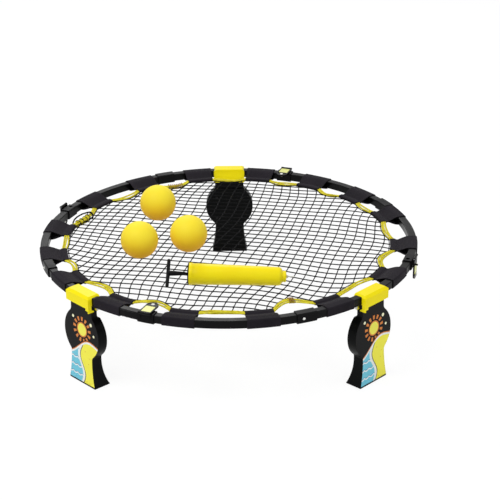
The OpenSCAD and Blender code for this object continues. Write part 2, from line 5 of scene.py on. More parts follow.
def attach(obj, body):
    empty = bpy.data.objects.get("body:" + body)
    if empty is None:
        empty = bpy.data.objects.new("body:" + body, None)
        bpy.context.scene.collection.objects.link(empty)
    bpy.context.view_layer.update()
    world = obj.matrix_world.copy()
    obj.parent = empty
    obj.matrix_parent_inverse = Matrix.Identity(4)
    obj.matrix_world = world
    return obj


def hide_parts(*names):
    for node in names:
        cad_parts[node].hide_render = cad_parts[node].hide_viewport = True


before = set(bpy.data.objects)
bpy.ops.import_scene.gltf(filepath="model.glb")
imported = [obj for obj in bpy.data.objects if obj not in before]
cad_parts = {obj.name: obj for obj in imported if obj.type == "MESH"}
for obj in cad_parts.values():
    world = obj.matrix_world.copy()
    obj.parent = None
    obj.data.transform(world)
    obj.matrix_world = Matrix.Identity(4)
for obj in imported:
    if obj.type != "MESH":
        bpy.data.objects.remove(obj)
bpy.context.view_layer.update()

scene = bpy.context.scene
scene.view_settings.view_transform = "Standard"

# ---- Where the set stands ------------------------------------------------------------------------------
# A pale studio floor under a white room, with a large soft lamp over the near left
# side, a weaker one on the right and one behind. The camera looks down at the net
# from the front.
CAMERA_TURN, CAMERA_CLIMB, CAMERA_ROLL = (math.radians(a) for a in (0.95, 26.88, -0.65))
CAMERA_AWAY = 3.94268
LAMP_AIM, ROOM_LIGHT = Vector((0, 0, 0.2)), 0.55
FLOOR_HALF, FLOOR_Z, PAPER_GLOW = 15, -2e-4, 0.88

camera = bpy.data.cameras.new("camera")
camera.sensor_width, camera.lens = 36.0, 115.10
camera.shift_x, camera.shift_y = 0.041, 0.1411
camera.clip_start, camera.clip_end = 0.05, 60.0
eye = bpy.data.objects.new("camera", camera)
scene.collection.objects.link(eye)
scene.camera = eye
back = Vector((math.sin(CAMERA_TURN) * math.cos(CAMERA_CLIMB), -math.cos(CAMERA_TURN) * math.cos(CAMERA_CLIMB),
               math.sin(CAMERA_CLIMB)))
side = Vector((0, 0, 1)).cross(back).normalized()
over = back.cross(side)
right = math.cos(CAMERA_ROLL) * side + math.sin(CAMERA_ROLL) * over
top = -math.sin(CAMERA_ROLL) * side + math.cos(CAMERA_ROLL) * over
eye.matrix_world = Matrix.Translation(back * CAMERA_AWAY) @ Matrix((right, top, back)).transposed().to_4x4()

for name, place, width, power in (
    ("lamp_left", (-1.3, -1.2, 2.9), 1.8, 43.0),
    ("lamp_right", (2.2, -1.2, 1.9), 1.6, 10.0),
    ("lamp_back", (-0.5, 2.4, 2.2), 1.6, 22.0),
):
    lamp = bpy.data.lights.new(name, "AREA")
    lamp.shape, lamp.size, lamp.energy = "DISK", width, power
    stand = bpy.data.objects.new(name, lamp)
    stand.location = place
    stand.rotation_euler = (LAMP_AIM - Vector(place)).to_track_quat("-Z", "Y").to_euler()
    scene.collection.objects.link(stand)


def add(tree, kind, values=(), **settings):
    """A new node, with its settings by name and its inputs' values by name or number."""
    node = tree.nodes.new(kind)
    for setting, value in settings.items():
        setattr(node, setting, value)
    for socket, value in dict(values).items():
        node.inputs[socket].default_value = value
    return node


def join(tree, *links):
    """Links nodes, each link given as a node, its output, the next node and its input."""
    for source, out, target, into in links:
        tree.links.new(source.outputs[out], target.inputs[into])


def show_white(tree, lit, white, end, *rays):
    """Gives these rays the white look, and leaves the lit one to all others."""
    path = add(tree, "ShaderNodeLightPath")
    pick = add(tree, "ShaderNodeMixShader")
    seen = path.outputs[rays[0]]
    for ray in rays[1:]:
        either = add(tree, "ShaderNodeMath", operation="MAXIMUM")
        tree.links.new(seen, either.inputs[0])
        tree.links.new(path.outputs[ray], either.inputs[1])
        seen = either.outputs[0]
    tree.links.new(seen, pick.inputs[0])
    join(tree, (lit, 0, pick, 1), (white, 0, pick, 2), (pick, 0, end, "Surface"))


room = bpy.data.worlds.new("room")
scene.world = room
room.use_nodes = True
air = room.node_tree
air.nodes.clear()
show_white(air, add(air, "ShaderNodeBackground", {"Color": (0.96, 0.98, 1.0, 1.0), "Strength": ROOM_LIGHT}),
           add(air, "ShaderNodeBackground", {"Color": (1.0, 1.0, 1.0, 1.0)}), add(air, "ShaderNodeOutputWorld"),
           "Is Camera Ray", "Is Glossy Ray", "Is Transmission Ray")

ground = bpy.data.meshes.new("floor")
ground.from_pydata([(x * FLOOR_HALF, y * FLOOR_HALF, FLOOR_Z) for x, y in ((-1, -1), (1, -1), (1, 1), (-1, 1))],
                   [], [(0, 1, 2, 3)])
floor = bpy.data.objects.new("floor", ground)
scene.collection.objects.link(floor)
paper = bpy.data.materials.new("floor_paper")
paper.use_nodes = True
web = paper.node_tree
web.nodes.clear()
# what the camera sees is white paper that still takes the shadow of the object
shadow = add(web, "ShaderNodeBsdfDiffuse", {"Color": (0.16, 0.16, 0.16, 1)})
glow = add(web, "ShaderNodeEmission", {"Strength": PAPER_GLOW})
paper_white = add(web, "ShaderNodeAddShader")
join(web, (shadow, 0, paper_white, 0), (glow, 0, paper_white, 1))
show_white(web, add(web, "ShaderNodeBsdfDiffuse", {"Color": (0.96, 0.96, 0.95, 1)}), paper_white,
           add(web, "ShaderNodeOutputMaterial"), "Is Camera Ray", "Is Glossy Ray")
ground.materials.append(paper)

# ---- Rim tube -------------------------------------------------------------------------------------------
# Eight bent arcs of square steel tube, powder coated in a fine satin black. Each
# arc's reduced end is plugged into the arc before it.
RIM_R, RIM_TOP, TUBE = 450.0, 226.0, 19.0
MID_R, MID_Z = RIM_R - TUBE / 2, RIM_TOP - TUBE / 2
PATCH_EDGES = (0.3, 0.7)


def shade(*colour):
    """Colour as seen on a screen, 0 to 255, turned to what the shader takes."""
    return tuple((c / 255 / 12.92) if c < 11 else ((c / 255 + 0.055) / 1.055) ** 2.4 for c in colour) + (1.0,)


def blend(tree, share, base, colour):
    """Lays a colour over the base by a share from 0 to 1, both given by sockets, and returns the mix's."""
    mix = add(tree, "ShaderNodeMix", {7: shade(*colour)}, data_type="RGBA")
    tree.links.new(share, mix.inputs[0])
    tree.links.new(base, mix.inputs[6])
    return mix.outputs[2]


def finish(name, light, dark, patch=30.0, rough=(0.35, 0.5), pores=700.0, relief=0.05, depth=0.0003,
           gloss=0.5, metal=0.0, nap=0.0, scuff=None):
    """A surface with patchy tone, uneven gloss and fine pores, all read from the piece's own coordinates."""
    material = bpy.data.materials.new(name)
    material.use_nodes = True
    tree = material.node_tree
    shader = tree.nodes["Principled BSDF"]
    for socket, value in (("Specular IOR Level", gloss), ("Metallic", metal), ("Sheen Weight", nap),
                          ("Sheen Roughness", 0.4)):
        shader.inputs[socket].default_value = value
    low, high = PATCH_EDGES
    place = add(tree, "ShaderNodeTexCoord")
    cloud = add(tree, "ShaderNodeTexNoise", {"Scale": patch, "Detail": 5.0})
    tone = add(tree, "ShaderNodeValToRGB")
    for step, at, colour in zip(tone.color_ramp.elements, (low, high), (dark, light)):
        step.position, step.color = at, shade(*colour)
    sheen = add(tree, "ShaderNodeMapRange",
                {"From Min": low, "From Max": high, "To Min": rough[0], "To Max": rough[1]})
    skin = add(tree, "ShaderNodeTexNoise", {"Scale": pores, "Detail": 3.0})
    bump = add(tree, "ShaderNodeBump", {"Strength": relief, "Distance": depth})
    join(tree, (place, "Object", cloud, "Vector"), (cloud, "Fac", tone, "Fac"), (tone, "Color", shader, "Base Color"),
         (cloud, "Fac", sheen, "Value"), (sheen, "Result", shader, "Roughness"), (place, "Object", skin, "Vector"),
         (skin, "Fac", bump, "Height"), (bump, "Normal", shader, "Normal"))
    if scuff:
        scratch = add(tree, "ShaderNodeTexNoise", {"Scale": 55.0, "Detail": 8.0, "Distortion": 1.6})
        worn = add(tree, "ShaderNodeMapRange", {"From Min": 0.62, "From Max": 0.72, "To Max": 0.5})
        join(tree, (place, "Object", scratch, "Vector"), (scratch, "Fac", worn, "Value"))
        tree.links.new(blend(tree, worn.outputs["Result"], tone.outputs["Color"], scuff),
                       shader.inputs["Base Color"])
    return material


def dress(material, *nodes):
    """Gives the solids of the frame their finish."""
    for node in nodes:
        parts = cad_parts[node]
        for part in parts if isinstance(parts, (list, tuple)) else [parts]:
            part.data.materials.clear()
            part.data.materials.append(material)


dress(finish("rim_black_coat", (8, 8, 9), (5, 5, 6), rough=(0.24, 0.36), pores=1600.0, relief=0.12, depth=0.00012,
             gloss=0.1, scuff=(20, 20, 22)), *(f"rim_arc_{n}" for n in range(1, 9)))

# ---- Joint sleeves --------------------------------------------------------------------------------------
# Moulded black nylon sleeves over the joints. Four are plain, four carry the ears
# and the steel pin of a latch lever.
JOINTS = (28, 71, 113, 156, 200.5, 247, 293, 343)
dress(finish("sleeve_nylon", (9, 8, 10), (5, 5, 6), rough=(0.32, 0.45), pores=1100.0, relief=0.2, depth=0.0002,
             gloss=0.09), *(f"{kind}_{n}" for kind in ("sleeve", "latch_sleeve") for n in range(1, 5)))
dress(finish("steel", (168, 168, 170), (140, 140, 143), rough=(0.22, 0.34), pores=1500.0, relief=0.06, metal=1.0),
      "latch_pins")

# ---- Snap buttons ---------------------------------------------------------------------------------------
# White acetal buttons that stand out of the plain sleeves and spring back when
# they are pressed.
white_nylon = finish("white_nylon", (238, 238, 234), (222, 222, 216), rough=(0.3, 0.42), pores=900.0, relief=0.05)
dress(white_nylon, *(f"snap_button_{n}" for n in range(1, 5)))

# ---- Latch levers ---------------------------------------------------------------------------------------
# Black nylon levers on a steel pin. A pale vinyl label fills the sunk panel and
# another lies on the underside, and a white stud is riveted through the tip.
MM = 0.001
LATCH_X, LATCH_Z, LEVER_T = 455.6, 231.0, 3.6
LEVER_OPEN = (0, 270, 0, 270)
LABEL, UNDER_LABEL = (-33.7, -6.6, 11.3, 1.6), (-40.2, -18.4, 11.4, 3.0)
STUD_X = -44
STUD = [(0, -5.6), (1.9, -5.5), (2.9, -5.0), (3.2, -4.2), (3.2, -1.85), (2.55, -1.8), (2.55, 0.95), (4.1, 1.0),
        (4.1, 1.6), (3.4, 2.4), (1.8, 2.85), (0, 2.95)]
dress(finish("lever_nylon", (12, 12, 13), (8, 8, 9), rough=(0.26, 0.38), relief=0.1, gloss=0.1),
      *(f"latch_lever_{n}" for n in range(1, 5)))
label_vinyl = finish("label_vinyl", (226, 228, 122), (214, 216, 108), patch=60.0, rough=(0.25, 0.35), relief=0.03)


def outward(mesh, merge=False):
    """Turns a mesh's faces outwards, once its doubles are merged where that is asked for."""
    form = bmesh.new()
    form.from_mesh(mesh)
    if merge:
        bmesh.ops.remove_doubles(form, verts=form.verts, dist=1e-6)
    bmesh.ops.recalc_face_normals(form, faces=form.faces)
    form.to_mesh(mesh)
    form.free()


def piece(name, body, slot, corners, faces, material, place, smooth=True):
    """A finished mesh, given in millimetres, with its faces turned outwards."""
    mesh = bpy.data.meshes.new(name)
    mesh.from_pydata([(place @ Vector(c)) * MM for c in corners], [], faces)
    outward(mesh, merge=True)
    for face in mesh.polygons:
        face.use_smooth = smooth
    mesh.materials.append(material)
    item = bpy.data.objects.new(name, mesh)
    scene.collection.objects.link(item)
    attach(item, body)
    return item


def plate(outline, low, high, round_by=0.25):
    """A flat plate with a small rounded edge, from its outline in X and Y."""
    middle = [sum(p[k] for p in outline) / len(outline) for k in (0, 1)]
    corners = []
    for inset, z in ((0, low), (0, high - round_by), (round_by, high)):
        for x, y in outline:
            k = 1 - inset / math.hypot(x - middle[0], y - middle[1])
            corners.append((middle[0] + (x - middle[0]) * k, middle[1] + (y - middle[1]) * k, z))
    n = len(outline)
    faces = [tuple(range(n - 1, -1, -1)), tuple(range(2 * n, 3 * n))]
    for r in (0, 1):
        faces += [(r * n + k, r * n + (k + 1) % n, (r + 1) * n + (k + 1) % n, (r + 1) * n + k) for k in range(n)]
    return corners, faces


def lathe(profile, steps=24):
    """A turned form about Z, from (radius, height) points that start and end on the axis."""
    corners, faces = [(0, 0, profile[0][1])], []
    for radius, z in profile[1:-1]:
        for k in range(steps):
            a = 2 * math.pi * k / steps
            corners.append((radius * math.cos(a), radius * math.sin(a), z))
    corners.append((0, 0, profile[-1][1]))
    rows = len(profile) - 2
    for k in range(steps):
        after = (k + 1) % steps
        faces.append((0, 1 + after, 1 + k))
        for r in range(rows - 1):
            low, high = 1 + r * steps, 1 + (r + 1) * steps
            faces.append((low + k, low + after, high + after, high + k))
        last = 1 + (rows - 1) * steps
        faces.append((last + k, last + after, len(corners) - 1))
    return corners, faces


def rounded(x0, x1, half, radius, steps=6):
    """A rectangle with round corners, symmetric about the X axis."""
    points = []
    for cx, cy, start in ((x1 - radius, half - radius, 0), (x0 + radius, half - radius, 90),
                          (x0 + radius, radius - half, 180), (x1 - radius, radius - half, 270)):
        for k in range(steps + 1):
            a = math.radians(start + 90 * k / steps)
            points.append((cx + radius * math.cos(a), cy + radius * math.sin(a)))
    return points


label = plate(rounded(*LABEL), LEVER_T / 2 - 0.85, LEVER_T / 2 - 0.25)
under, under_faces = plate(rounded(*UNDER_LABEL), LEVER_T / 2 - 0.05, LEVER_T / 2 + 0.35)
under = [(x, y, -z) for x, y, z in under]
for n in range(4):
    hinge = (Matrix.Rotation(math.radians(JOINTS[2 * n + 1]), 4, "Z") @ Matrix.Translation((LATCH_X, 0, LATCH_Z))
             @ Matrix.Rotation(math.radians(LEVER_OPEN[n]), 4, "Y"))
    piece(f"latch_label_{n + 1}", f"latch_{n + 1}", "lever_black", *label, label_vinyl, hinge, smooth=False)
    piece(f"latch_under_label_{n + 1}", f"latch_{n + 1}", "lever_black", under, under_faces, label_vinyl, hinge,
          smooth=False)
    piece(f"latch_stud_{n + 1}", f"latch_{n + 1}", "button_white", *lathe(STUD), white_nylon,
          hinge @ Matrix.Translation((STUD_X, 0, 0)))

# ---- Fabric tabs ----------------------------------------------------------------------------------------
# Sixteen loops of charcoal polyester webbing, wrapped round the rim tube and sewn
# shut over the edge cord. The side edges are folded over and stitched.
TABS = (20, 39.5, 59, 79.5, 101.5, 122.5, 145, 171, 192, 211, 233.8, 256.5, 280.5, 304, 331.0, 355)
TAB_WIDTH = 72.0
TAB_HALF = math.degrees(TAB_WIDTH / MID_R) / 2
TAB_GROUPS = {"tabs_back": ((2, 3, 4, 5), ("rim_arc_1", "rim_arc_2", "rim_arc_3")),
              "tabs_right": ((14, 15, 0, 1), ("rim_arc_7", "rim_arc_8", "rim_arc_1")),
              "tabs_front": ((10, 11, 12, 13), ("rim_arc_5", "rim_arc_6", "rim_arc_7")),
              "tabs_left": ((6, 7, 8, 9), ("rim_arc_3", "rim_arc_4", "rim_arc_5"))}
CLOTH_T, THREAD = 1.15, 0.0011
HEM_FROM, HEM_ON_TUBE, HEM_AT_SEAM = 0.84, 0.45 * 0.55, 0.45 * 0.4
ACROSS_TAB = (-1.0, -0.985, -0.93, -0.87, -0.82, -0.6, -0.35, -0.1, 0.15, 0.4, 0.62, 0.82, 0.87, 0.93, 0.985, 1.0)


def node_of(tree, kind):
    """The first node of a kind in a finish."""
    return next(node for node in tree.nodes if node.type == kind)


def woven(name, light, dark):
    """Cloth whose plain weave follows the UV map, given in metres along and across."""
    material = finish(name, light, dark, patch=18.0, rough=(0.72, 0.9), gloss=0.06, nap=0.05)
    tree = material.node_tree
    bump = node_of(tree, "BUMP")
    path = add(tree, "ShaderNodeUVMap")
    split = add(tree, "ShaderNodeSeparateXYZ")
    weave = add(tree, "ShaderNodeMath", operation="MULTIPLY")
    for k, axis in enumerate(("X", "Y")):
        turn = add(tree, "ShaderNodeMath", {1: math.pi / THREAD}, operation="MULTIPLY")
        wave = add(tree, "ShaderNodeMath", operation="SINE")
        join(tree, (split, axis, turn, 0), (turn, 0, wave, 0), (wave, 0, weave, k))
    bump.inputs["Strength"].default_value, bump.inputs["Distance"].default_value = 0.5, 0.0003
    # the threads that dip under lie in their own shade
    level = add(tree, "ShaderNodeMapRange", {"From Min": -1.0, "To Min": 0.0, "To Max": 0.3})
    join(tree, (path, "UV", split, "Vector"), (weave, 0, bump, "Height"), (weave, 0, level, "Value"))
    tone = node_of(tree, "VALTORGB").outputs["Color"]
    tree.links.new(blend(tree, level.outputs["Result"], tone, [c * 0.7 for c in dark]),
                   tree.nodes["Principled BSDF"].inputs["Base Color"])
    return material


tab_cloth = woven("tab_cloth", (42, 38, 44), (29, 26, 31))


def tab_line():
    """The loop's section from the seam round the tube and back: distance from the tube's middle, height,
    and length so far."""
    half, corner = 10.55, 3.4
    line = [(-53.3, 0.0), (-53.0, 1.5), (-52.0, 2.6), (-50.3, 3.05), (-46.5, 3.15), (-42.5, 3.0), (-40.3, 2.3),
            (-38.6, 1.15), (-37.2, 0.75), (-35.2, 0.75), (-33.8, 1.0), (-31.5, 1.9), (-27, 3.8), (-22, 5.9),
            (-17, 7.9), (-13, 9.35), (-half + 1.4, half - 0.35), (-half + 3.6, half), (-4, half), (0, half), (4, half)]
    for k in range(5):
        a = math.radians(90 - 22.5 * k)
        line.append((half - corner + corner * math.cos(a), half - corner + corner * math.sin(a)))
    line += [(half, 4), (half + 0.15, 0)]
    line += [(x, -z) for x, z in reversed(line[1:-1])]
    length = [0.0]
    for a, b in zip(line, line[1:] + line[:1]):
        length.append(length[-1] + math.dist(a, b))
    return line, length


def tabs(node, places):
    """Four webbing loops with hems, creases and a slightly wavy hang, as one piece."""
    line, length = tab_line()
    corners, faces, marks = [], [], []
    rows = len(line)
    for place in places:
        start = len(corners)
        for v in ACROSS_TAB:
            for (x, z), run in zip(line, length):
                # 1 where the loop spans free from the tube to the seam, 0 where it is held
                free = min(1.0, max(0.0, (-9.0 - x) / 12)) * min(1.0, max(0.0, (x + 50) / 10))
                ripple = noise.noise(Vector((place * 0.7, run * 0.045, v * 1.6)))
                edge = 0.35 * abs(v) ** 6 * free * noise.noise(Vector((place, run * 0.09, v * 3.0)))
                out = Vector((x + 20, 0, z)).normalized() if x > -12 else Vector((0, 0, 1 if z >= 0 else -1))
                hem = (HEM_ON_TUBE if x > -36 else HEM_AT_SEAM) if abs(v) > HEM_FROM else 0.0
                puff = hem + 0.5 * ripple * free
                r = MID_R + x + out.x * puff
                sway = 1 + 0.012 * math.sin(run * 0.11 + place) * free
                a = math.radians(place + v * TAB_HALF * sway) + edge * 0.01
                corners.append((r * math.cos(a), r * math.sin(a), MID_Z + z + out.z * puff))
                marks.append((v * TAB_WIDTH / 2 * (1 + x / MID_R) * MM, run * MM))
        for c in range(len(ACROSS_TAB) - 1):
            low, high = start + c * rows, start + (c + 1) * rows
            faces += [(low + k, low + (k + 1) % rows, high + (k + 1) % rows, high + k) for k in range(rows)]
    mesh = bpy.data.meshes.new(node + "_cloth")
    mesh.from_pydata([Vector(c) * MM for c in corners], [], faces)
    grid = mesh.uv_layers.new(name="UVMap")
    for face in mesh.polygons:
        face.use_smooth = True
        runs = [marks[mesh.loops[k].vertex_index][1] for k in face.loop_indices]
        # the faces that close the loop run on to its full length, and not back to 0
        wraps = max(runs) - min(runs) > 0.05
        for k in face.loop_indices:
            u, v = marks[mesh.loops[k].vertex_index]
            grid.data[k].uv = (u, v + (length[-1] * MM if wraps and v < 0.05 else 0))
    mesh.materials.append(tab_cloth)
    outward(mesh)
    item = bpy.data.objects.new(node + "_cloth", mesh)
    scene.collection.objects.link(item)
    wall = item.modifiers.new("thickness", "SOLIDIFY")
    wall.thickness, wall.offset = CLOTH_T * MM, 0.0
    wall.use_even_offset = False
    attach(item, "rim")
    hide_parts(node)


for node, (places, arcs) in TAB_GROUPS.items():
    tabs(node, [TABS[k] for k in places])


def tree_of(name, **sizes):
    """An empty node tree with a geometry socket and one named input for each size."""
    tree = bpy.data.node_groups.new(name, "GeometryNodeTree")
    tree.interface.new_socket("Wires", in_out="INPUT", socket_type="NodeSocketGeometry")
    for size, kind in sizes.items():
        tree.interface.new_socket(size, in_out="INPUT", socket_type=kind)
    tree.interface.new_socket("Form", in_out="OUTPUT", socket_type="NodeSocketGeometry")
    return tree, add(tree, "NodeGroupInput"), add(tree, "NodeGroupOutput")


def paint(tree, made, out, material, end):
    """The end of a node tree: makes its instances real and sets their material."""
    plain = add(tree, "GeometryNodeRealizeInstances")
    coat = add(tree, "GeometryNodeSetMaterial", {"Material": material})
    join(tree, (made, out, plain, "Geometry"), (plain, "Geometry", coat, "Geometry"), (coat, "Geometry", end, "Form"))


def grow(name, body, points, edges, tree, slot, **sizes):
    """Runs a node tree over wires given in millimetres and keeps the result as a plain piece."""
    wires = bpy.data.meshes.new(name)
    wires.from_pydata([Vector(p) * MM for p in points], edges, [])
    item = bpy.data.objects.new(name, wires)
    scene.collection.objects.link(item)
    maker = item.modifiers.new("maker", "NODES")
    maker.node_group = tree
    for socket in tree.interface.items_tree:
        if socket.in_out == "INPUT" and socket.name in sizes:
            maker[socket.identifier] = sizes[socket.name]
    item.update_tag()
    made = bpy.data.meshes.new_from_object(item.evaluated_get(bpy.context.evaluated_depsgraph_get()))
    item.modifiers.clear()
    item.data = made
    made.name = item.name
    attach(item, body)
    return item


def ring_at(place, angle):
    """A point in the frame from a radius and height, and an angle in degrees."""
    return place[0] * math.cos(math.radians(angle)), place[0] * math.sin(math.radians(angle)), place[1]


def stitch_tree(thread):
    """Short stitches, one after the other, along every wire."""
    tree, start, end = tree_of("stitches", Pitch="NodeSocketFloat", Length="NodeSocketFloat",
                               Thickness="NodeSocketFloat")
    curve = add(tree, "GeometryNodeMeshToCurve")
    even = add(tree, "GeometryNodeResampleCurve", mode="LENGTH")
    spots = add(tree, "GeometryNodeCurveToPoints", mode="EVALUATED")
    stitch = add(tree, "GeometryNodeMeshUVSphere", {"Segments": 6, "Rings": 5, "Radius": 0.5})
    size = add(tree, "ShaderNodeCombineXYZ")
    place = add(tree, "GeometryNodeInstanceOnPoints")
    join(tree, (start, "Wires", curve, "Mesh"), (curve, "Curve", even, "Curve"), (start, "Pitch", even, "Length"),
         (even, "Curve", spots, "Curve"), (spots, "Points", place, "Points"), (spots, "Rotation", place, "Rotation"),
         (stitch, "Mesh", place, "Instance"), (start, "Thickness", size, "X"), (start, "Thickness", size, "Y"),
         (start, "Length", size, "Z"), (size, "Vector", place, "Scale"))
    paint(tree, place, "Instances", thread, end)
    return tree


# where the stitches lie over the section, along the hems and across the seam
HEM_STITCHES = ((-50, 3.8), (-42.5, 3.65), (-38.6, 1.85), (-35.2, 1.45), (-31.5, 2.6), (-22, 6.55), (-13, 10.05),
                (-8, 11.2), (6, 11.2))
SEAM_STITCHES = ((-34.8, 1.4), (-37.6, 1.45))
HEM_SHARE, SEAM_SHARE = 0.845, 0.82
STITCH = {"Pitch": 3.4 * MM, "Length": 2.5 * MM, "Thickness": 0.55 * MM}
lines = []
for place in TABS:
    for face in (1, -1):
        for v in (-HEM_SHARE, HEM_SHARE):
            lines.append([ring_at((MID_R + x, MID_Z + face * z), place + v * TAB_HALF) for x, z in HEM_STITCHES])
        for x, z in SEAM_STITCHES:
            lines.append([ring_at((MID_R + x, MID_Z + face * z), place + (k / 4 - 1) * SEAM_SHARE * TAB_HALF)
                          for k in range(9)])
points, edges = [], []
for line in lines:
    edges += [(len(points) + k, len(points) + k + 1) for k in range(len(line) - 1)]
    points += line
tab_thread = finish("tab_thread", (30, 28, 34), (20, 19, 24), rough=(0.55, 0.7), gloss=0.3)
grow("tab_stitching", "rim", points, edges, stitch_tree(tab_thread), "tab_fabric", **STITCH)

# ---- Edge cord ------------------------------------------------------------------------------------------
# One long yellow laid cord that runs three times round through the tabs' pockets.
# Between two tabs the net draws it in, and its three runs lie loose over each other.
# Twine and a black lashing bind it where its ends meet.
STRAND, STRAND_STEP, CORD_R = 4.7, 4.15, 393.95
DRAW = 16.0
DRAW_SHARE = (0.6, 1.1, 0.85, 0.9, 1.5, 1.2, 0.95, 0.3, 0.6, 1.2, 1.6, 0.45, 2.35, 0.75, 1.3, 0.75)
# the lay turns once in 13 mm, over a section of four lobes drawn every 1.9 mm
LAY = {"Turn": 2 * math.pi / (13 * MM), "Step": 1.9 * MM}
SECTION_POINTS, POINTS_TO_LOBE, LOBE = 12, 3, 0.09
RING = 720


def drawn_in(angle):
    """How far the net has pulled the cord in at an angle, how slack it hangs there, 0 to 1, and the number
    of the gap."""
    for n in range(16):
        first = TABS[n] + TAB_HALF
        width = TABS[(n + 1) % 16] + (360 if n == 15 else 0) - TAB_HALF - first
        turn = (angle - first) % 360
        if turn < width:
            arch = 1 - (2 * turn / width - 1) ** 2
            return DRAW * DRAW_SHARE[n] * arch, arch, n
    return 0.0, 0.0, 0


def cord_tree(yarn):
    """A laid cord: a section of round lobes that turns about its wire."""
    tree, start, end = tree_of("laid_cord", Radius="NodeSocketFloat", Turn="NodeSocketFloat", Step="NodeSocketFloat")
    curve = add(tree, "GeometryNodeMeshToCurve")
    even = add(tree, "GeometryNodeResampleCurve", mode="LENGTH")
    up = add(tree, "GeometryNodeSetCurveNormal", mode="Z_UP")
    run = add(tree, "GeometryNodeSplineParameter")
    twist = add(tree, "ShaderNodeMath", operation="MULTIPLY")
    tilt = add(tree, "GeometryNodeSetCurveTilt")
    ring = add(tree, "GeometryNodeCurvePrimitiveCircle", {"Resolution": SECTION_POINTS})
    number = add(tree, "GeometryNodeInputIndex")
    lobe = add(tree, "ShaderNodeMath", {1: math.pi * 2 / POINTS_TO_LOBE}, operation="MULTIPLY")
    wave = add(tree, "ShaderNodeMath", operation="COSINE")
    part = add(tree, "ShaderNodeMath", {1: LOBE, 2: 1 - LOBE}, operation="MULTIPLY_ADD")
    spot = add(tree, "GeometryNodeInputPosition")
    grown = add(tree, "ShaderNodeVectorMath", operation="SCALE")
    lobes = add(tree, "GeometryNodeSetPosition")
    tube = add(tree, "GeometryNodeCurveToMesh", {"Fill Caps": True})
    round_off = add(tree, "GeometryNodeSetShadeSmooth")
    join(tree, (start, "Wires", curve, "Mesh"), (curve, "Curve", even, "Curve"), (start, "Step", even, "Length"),
         (even, "Curve", up, "Curve"), (up, "Curve", tilt, "Curve"), (run, "Length", twist, 0),
         (start, "Turn", twist, 1), (twist, 0, tilt, "Tilt"), (start, "Radius", ring, "Radius"), (number, 0, lobe, 0),
         (lobe, 0, wave, 0), (wave, 0, part, 0), (spot, 0, grown, 0), (part, 0, grown, "Scale"),
         (ring, "Curve", lobes, "Geometry"), (grown, 0, lobes, "Position"), (tilt, "Curve", tube, "Curve"),
         (lobes, "Geometry", tube, "Profile Curve"), (tube, "Mesh", round_off, "Geometry"))
    paint(tree, round_off, "Geometry", yarn, end)
    return tree


def run_of(strand, angle):
    """Middle of one run of the cord: side by side in the pockets, loosely laid over each other between them."""
    deep, part, gap = drawn_in(angle)
    sway = gap * 2.3 + strand * 2.1 + 0.9 * math.sin(math.radians(angle) * 14 + gap)
    out = (strand - 1) * (STRAND_STEP + 0.7 * part) + (1.3 + 0.8 * math.sin(sway)) * part
    return CORD_R - deep + out, MID_Z + 2.6 * math.cos(sway * 1.3 + gap) * part


laid = cord_tree(finish("yellow_cord", (246, 236, 66), (206, 188, 30), patch=150.0, rough=(0.55, 0.7), pores=1800.0,
                        relief=0.5, depth=0.0004, gloss=0.1, nap=0.08))
for strand in (0, 1, 2):
    ring = [ring_at(run_of(strand, k * 360 / RING), k * 360 / RING) for k in range(RING)]
    grow(f"edge_cord_strand_{strand + 1}", "rim", ring, [(k, (k + 1) % RING) for k in range(RING)], laid,
                      "cord_yellow", Radius=STRAND / 2 * MM, **LAY)
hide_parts("edge_cord")


def lashing(name, first, last, turns, wide, high, thick, tree, slot):
    """A thread wound round all three runs between two angles."""
    steps = turns * 14
    line = []
    for k in range(steps + 1):
        angle = first + (last - first) * k / steps
        spin = 2 * math.pi * turns * k / steps
        deep, part, _ = drawn_in(angle)
        line.append(ring_at((CORD_R - deep + 1.2 * part + wide * math.cos(spin), MID_Z + high * math.sin(spin)), angle))
    grow(name, "rim", line, [(k, k + 1) for k in range(steps)], tree, slot, Radius=thick / 2 * MM, **LAY)


twine = cord_tree(finish("brown_twine", (198, 150, 72), (112, 76, 34), patch=180.0, rough=(0.6, 0.8), pores=2200.0,
                         relief=0.5, gloss=0.08))
black_thread = cord_tree(finish("lashing_black", (14, 14, 15), (8, 8, 9), patch=120.0, rough=(0.5, 0.7), relief=0.4,
                                gloss=0.08))
lashing("cord_twine_front", 292.4, 294.4, 5, 8.2, 5.6, 1.9, twine, "cord_yellow")
lashing("cord_twine_back", 109.5, 115.5, 8, 8.2, 5.6, 2.1, twine, "cord_yellow")
lashing("cord_end_wrap", 157.5, 165.0, 6, 6.6, 5.4, 4.6, laid, "cord_yellow")
lashing("cord_lashing", 155.4, 165.6, 5, 9.0, 7.6, 2.2, black_thread, "net_black")
# the loop of the black lashing, as angle, radius and height over the tube's middle
LOOP = ((165.6, 396, -4), (164.4, 400, 1), (162.6, 401.5, 4), (160.6, 401, 5), (158.8, 399.5, 5), (157.2, 397, 5),
        (156.0, 393, 5), (155.3, 388, 6), (155.1, 382.0, 7), (155.3, 376.5, 5), (155.8, 372.5, 0), (156.6, 371.0, -4))
grow("cord_lashing_loop", "rim", [ring_at((r, MID_Z + z), angle) for angle, r, z in LOOP],
     [(k, k + 1) for k in range(len(LOOP) - 1)], black_thread, "net_black", Radius=2.1 * MM, **LAY)

# ---- Net ------------------------------------------------------------------------------------------------
# Black braided nylon, knotted into a mesh of about 23 mm and tied to a border cord
# that is sewn to the yellow one. The rim pulls it flat, but not quite square.
NET_EDGE = 384.7
NET_CORD, NET_KNOT, BORDER_CORD, BORDER_KNOT = 1.3 * MM, 2.3 * MM, 1.05 * MM, 1.0 * MM
STEPS = ((1, 0), (0, 1), (-1, 0), (0, -1))

